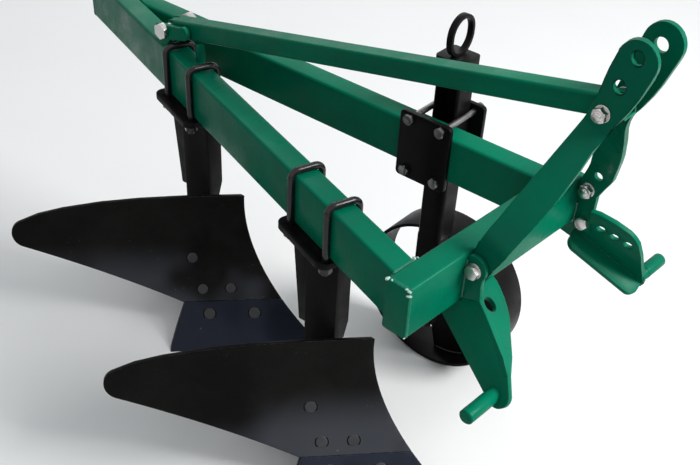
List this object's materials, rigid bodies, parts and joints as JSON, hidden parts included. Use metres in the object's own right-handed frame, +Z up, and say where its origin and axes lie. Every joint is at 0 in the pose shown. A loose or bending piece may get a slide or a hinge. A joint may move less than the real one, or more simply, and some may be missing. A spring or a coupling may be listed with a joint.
{
  "type": "moldboard plough",
  "caption": "Small mounted moldboard plough: box-tube frame, leaning top-link mast, flared hitch brackets, curved plough bodies on U-bolted legs and a sliding depth wheel.",
  "frame": {"origin": "centre of the whole part's box, at ground level", "axes": "+X to the plough's right, +Y in the direction of travel, +Z up"},
  "size_m": [0.6824, 1.1766, 0.837],
  "materials": {
    "green_paint": "smooth glossy green enamel over welded steel",
    "black_paint": "black enamel, half gloss",
    "zinc": "bright zinc-plated fasteners",
    "dark_steel": "bare dark steel rod, lightly oiled"
  },
  "bodies": {
    "frame": {"crossbeam": "green_paint", "crossbeam_caps": "green_paint", "main_beam": "green_paint", "main_beam_cap": "green_paint", "side_beam": "green_paint", "hitch_lug_right": "green_paint", "hitch_lug_left": "green_paint", "hitch_arm_right": "green_paint", "hitch_arm_left": "green_paint", "hitch_pin_right": "green_paint", "hitch_pin_left": "green_paint", "hitch_bolts": "zinc", "mast_bar_right": "green_paint", "mast_bar_left": "green_paint", "mast_bolt": "zinc", "brace_tube": "green_paint", "brace_spacers": "zinc", "rear_clevis": "green_paint", "clevis_bolt": "zinc", "clamp_plate_inner": "black_paint", "clamp_plate_outer": "black_paint", "clamp_bolts": "zinc", "base_plate_1": "black_paint", "u_bolts_1": "dark_steel", "leg_1": "black_paint", "frog_1": "black_paint", "moldboard_1": "black_paint", "share_1": "black_paint", "landside_1": "black_paint", "tail_brace_1": "black_paint", "base_plate_2": "black_paint", "u_bolts_2": "dark_steel", "leg_2": "black_paint", "frog_2": "black_paint", "moldboard_2": "black_paint", "share_2": "black_paint", "landside_2": "black_paint", "tail_brace_2": "black_paint"},
    "standard": {"standard_tube": "black_paint", "standard_foot": "black_paint", "standard_cap": "black_paint", "lift_ring": "black_paint", "wheel_axle": "zinc"},
    "wheel": {"wheel_rim": "black_paint", "wheel_spokes": "black_paint", "wheel_hub": "black_paint"}
  },
  "joints": [
    {"name": "wheel_height", "type": "slide", "parent": "frame", "child": "standard", "axis": [0, 0, 1], "range_m": [-0.05, 0.12]},
    {"name": "wheel_spin", "type": "hinge", "parent": "standard", "child": "wheel", "pos_m": [-0.27944, 0.18401, 0.146], "axis": [0.9981, 0.061, 0], "continuous": true}
  ]
}
